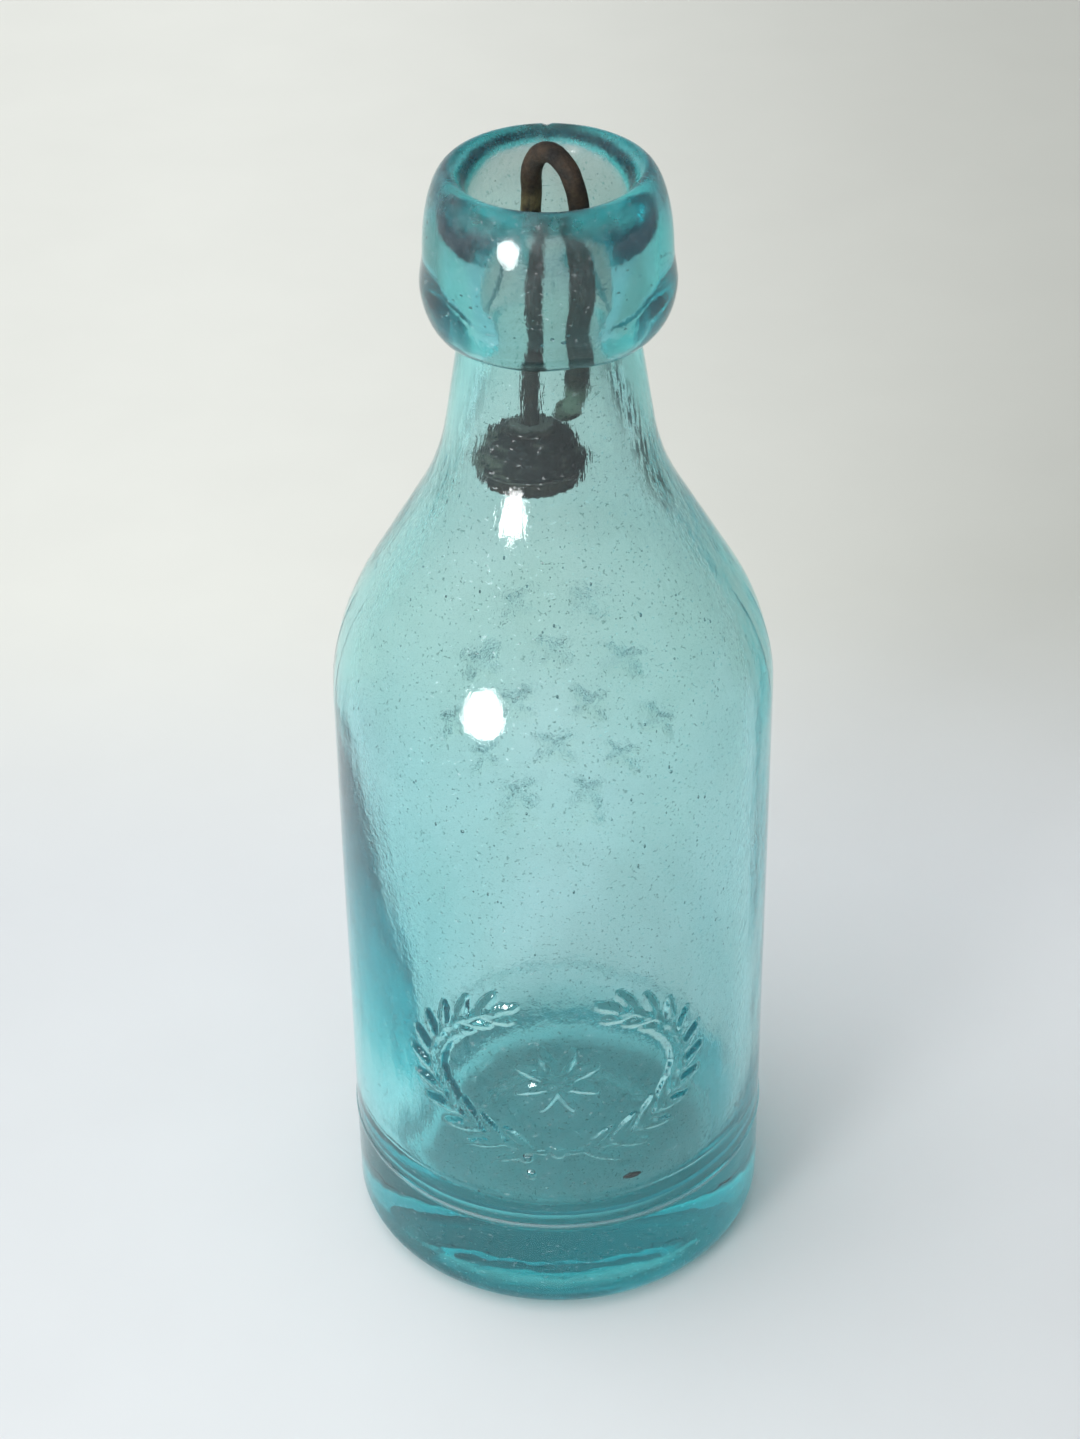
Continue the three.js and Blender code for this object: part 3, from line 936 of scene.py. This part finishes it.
def seed_mesh():
    """Small air bubbles in the wall of the body and neck, drawn out a little upwards."""
    dice = random.Random(7)
    bm = bmesh.new()
    for _ in range(SEED_COUNT):
        place = in_wall(dice.uniform(0, 2 * math.pi), dice.uniform(20, 130) * MM, dice.uniform(0.2, 0.8))
        size = dice.choice((0.06, 0.08, 0.1, 0.12, 0.17)) * MM
        shape = Matrix.Diagonal((size, size, size * dice.uniform(1, 2.2), 1))
        bmesh.ops.create_icosphere(bm, subdivisions=1, radius=1, matrix=place @ shape)
    for angle, z, size in BLISTERS:
        place = in_wall(math.radians(angle), z * MM, 0.2)
        shape = Matrix.Diagonal((size * MM, 0.5 * size * MM, size * MM, 1))
        bmesh.ops.create_icosphere(bm, subdivisions=2, radius=1, matrix=place @ shape)
    for _ in range(LIP_SEED_COUNT):
        angle = dice.uniform(0, 2 * math.pi)
        radius = dice.uniform(CREST_RADIUS - 1.2 * MM, CREST_RADIUS + 1.8 * MM)
        z = LIP_BOTTOM + dice.uniform(4, 16) * MM
        size = dice.choice((0.06, 0.09, 0.13, 0.18)) * MM
        place = Matrix.Rotation(angle, 4, "Z") @ Matrix.Translation((0, -radius, z))
        shape = Matrix.Diagonal((size * dice.uniform(1, 2.5), size, size, 1))
        bmesh.ops.create_icosphere(bm, subdivisions=1, radius=1, matrix=place @ shape)
    return bm


def stone_mesh():
    """Dark crumbs of slag in the wall."""
    bm = bmesh.new()
    for angle, z, size in STONES:
        place = in_wall(math.radians(angle), z * MM, 0.25)
        shape = Matrix.Diagonal((size * MM, 0.3 * size * MM, 0.38 * size * MM, 1))
        bmesh.ops.create_icosphere(bm, subdivisions=2, radius=1, matrix=place @ shape)
    return roughen(bm, 0.12 * MM, 2200)


def outer_radius(z):
    """Radius of the outer glass of the body, shoulder and neck."""
    rise = z - SHOULDER_START
    if rise < 0:
        return BODY_RADIUS
    if rise < SHOULDER_RADIUS * math.sin(slope):
        return SHOULDER_CENTRE[0] + math.sqrt(SHOULDER_RADIUS ** 2 - rise ** 2)
    drop = SWEEP_CENTRE[1] - z
    if drop > NECK_SWEEP_RADIUS * math.sin(slope):
        return SWEEP_CENTRE[0] - (NECK_SWEEP_RADIUS - drop * math.sin(slope)) / math.cos(slope)
    return SWEEP_CENTRE[0] - math.sqrt(NECK_SWEEP_RADIUS ** 2 - max(drop, 0) ** 2)


rust = rusted_iron()
piece("bottle_glass", glass_mesh(), "bottle", aqua_glass(), ("bottle_body", "applied_lip"))
piece("seed_bubbles", seed_mesh(), "bottle", trapped_air())
piece("glass_stones", stone_mesh(), "bottle", slag())
brown_wire = wire_iron(rust)
piece("wire", wire_mesh(), "stopper", brown_wire, ("spring_wire",))
piece("wire_rivet", rivet_mesh(), "stopper", brown_wire)
washer_iron = iron("washer_iron", rust, 700, WASHER_HIGH.z)
piece("washer", upper_plate_mesh(), "stopper", washer_iron, ("upper_plate",))
piece("gasket", gasket_mesh(), "stopper", perished_rubber(), ("rubber_gasket",))
plate_iron = iron("plate_iron", rust, 600, PLATE_HIGH.z)
piece("plate", lower_plate_mesh(), "stopper", plate_iron, ("lower_plate",))


# Stage

# The second colour of each pair is painted shade, for light falling off towards the right.
COOL_WHITE, COOL_PAINTED_SHADE = (0.7, 0.725, 0.73), (0.64, 0.66, 0.665)
CREAM, CREAM_PAINTED_SHADE = (0.8, 0.81, 0.75), (0.5, 0.51, 0.465)
FLOOR_SIZE = 3
FLOOR_GAP = 0.2 * MM


def pale_floor():
    """Cool white, running into a cream close behind the bottle, both darkened towards the right by painted
    shade.
    """
    mat, tree, shader, _ = material("pale_floor")
    place = parts_of(tree)
    close = near(tree, (0, 0.3, 0), 0.45, 1.2)
    # painted shade: the white floor darker towards the right
    right = maths(tree, "MULTIPLY", close, span(tree, place["X"], 0.03, 0.13))
    behind = maths(tree, "MULTIPLY", close, span(tree, place["Y"], 0.06, 0.17))
    white = mixed(tree, right, COOL_WHITE, COOL_PAINTED_SHADE)
    # painted shade: the cream darker towards the right
    cream = mixed(tree, span(tree, place["X"], -0.1, 0.16), CREAM, CREAM_PAINTED_SHADE)
    sweep = mixed(tree, behind, white, cream)
    grain = placed(tree, "ShaderNodeTexNoise", (1, 1, 1), Scale=40, Detail=3)
    mottle = ramp(tree, grain.outputs["Fac"], [(0.3, 0.98), (0.7, 1.0)])
    tree.links.new(mixed(tree, 1, sweep, mottle, "MULTIPLY"), shader.inputs["Base Color"])
    shader.inputs["Roughness"].default_value = 0.8
    bm = bmesh.new()
    place = Matrix.Translation((0, 0, -FLOOR_GAP))
    bmesh.ops.create_grid(bm, x_segments=1, y_segments=1, size=FLOOR_SIZE, matrix=place)
    mesh = bpy.data.meshes.new("floor")
    bm.to_mesh(mesh)
    bm.free()
    mesh.materials.append(mat)
    floor = bpy.data.objects.new("floor", mesh)
    bpy.context.scene.collection.objects.link(floor)


def studio():
    """Pale floor, soft light from the upper left, a dimmer room seen in the glass, and a round lamp."""
    pale_floor()
    world = bpy.data.worlds.new("studio_air")
    world.use_nodes = True
    tree = world.node_tree
    path = tree.nodes.new("ShaderNodeLightPath")
    through = maths(tree, "MAXIMUM", path.outputs["Is Glossy Ray"], path.outputs["Is Transmission Ray"])
    seen = maths(tree, "MAXIMUM", through, path.outputs["Is Camera Ray"])
    seen = maths(tree, "MULTIPLY", seen, span(tree, path.outputs["Diffuse Depth"], 0, 1, 1, 0))
    direction = parts_of(tree, "Generated")
    room = maths(tree, "MULTIPLY", span(tree, direction["Z"], 0.2, 0.6, ROOM_LOW, ROOM_HIGH),
                 span(tree, direction["X"], -0.2, 0.7, 1, 0.55))
    backdrop = mixed_value(tree, path.outputs["Is Camera Ray"], room, ROOM_LOW)

    coords = tree.nodes.new("ShaderNodeTexCoord")
    facing = tree.nodes.new("ShaderNodeVectorMath")
    facing.operation = "DOT_PRODUCT"
    facing.inputs[1].default_value = Vector(KEY_DIRECTION).normalized()
    tree.links.new(coords.outputs["Generated"], facing.inputs[0])
    soft_key = span(tree, facing.outputs["Value"], 0.45, 0.97, 0.43, 1.95)
    tree.nodes["Background"].inputs["Color"].default_value = (0.97, 0.98, 1, 1)
    tree.links.new(mixed_value(tree, seen, soft_key, backdrop), tree.nodes["Background"].inputs["Strength"])
    bpy.context.scene.world = world

    disc = bpy.data.lights.new("round_lamp", "AREA")
    disc.shape = "DISK"
    disc.size = LAMP_SIZE
    disc.energy = LAMP_POWER
    disc.spread = math.radians(LAMP_SPREAD)
    lamp = bpy.data.objects.new("round_lamp", disc)
    lamp.location = LAMP_PLACE
    lamp.rotation_euler = (Vector(LAMP_AIM) - lamp.location).to_track_quat("-Z", "Y").to_euler()
    lamp.visible_camera = lamp.visible_transmission = False
    bpy.context.scene.collection.objects.link(lamp)


def photo_camera():
    data = bpy.data.cameras.new("photo_camera")
    data.sensor_width = SENSOR_WIDTH
    data.lens = FOCAL_PIXELS / PHOTO_HEIGHT * SENSOR_WIDTH
    data.shift_x = -(AXIS_COLUMN - PHOTO_WIDTH / 2) / PHOTO_HEIGHT
    camera = bpy.data.objects.new("photo_camera", data)
    down = Matrix.Rotation(math.radians(90 - CAMERA_PITCH), 4, "X")
    roll = Matrix.Rotation(math.radians(-CAMERA_ROLL), 4, "Z")
    camera.matrix_world = Matrix.Translation((0, -CAMERA_BACK, CAMERA_UP)) @ (down @ roll)
    bpy.context.scene.collection.objects.link(camera)
    bpy.context.scene.camera = camera


studio()
photo_camera()
bpy.context.scene.view_settings.view_transform = "Standard"
for limit in ("max_bounces", "transmission_bounces", "glossy_bounces"):
    setattr(bpy.context.scene.cycles, limit, LIGHT_BOUNCES)
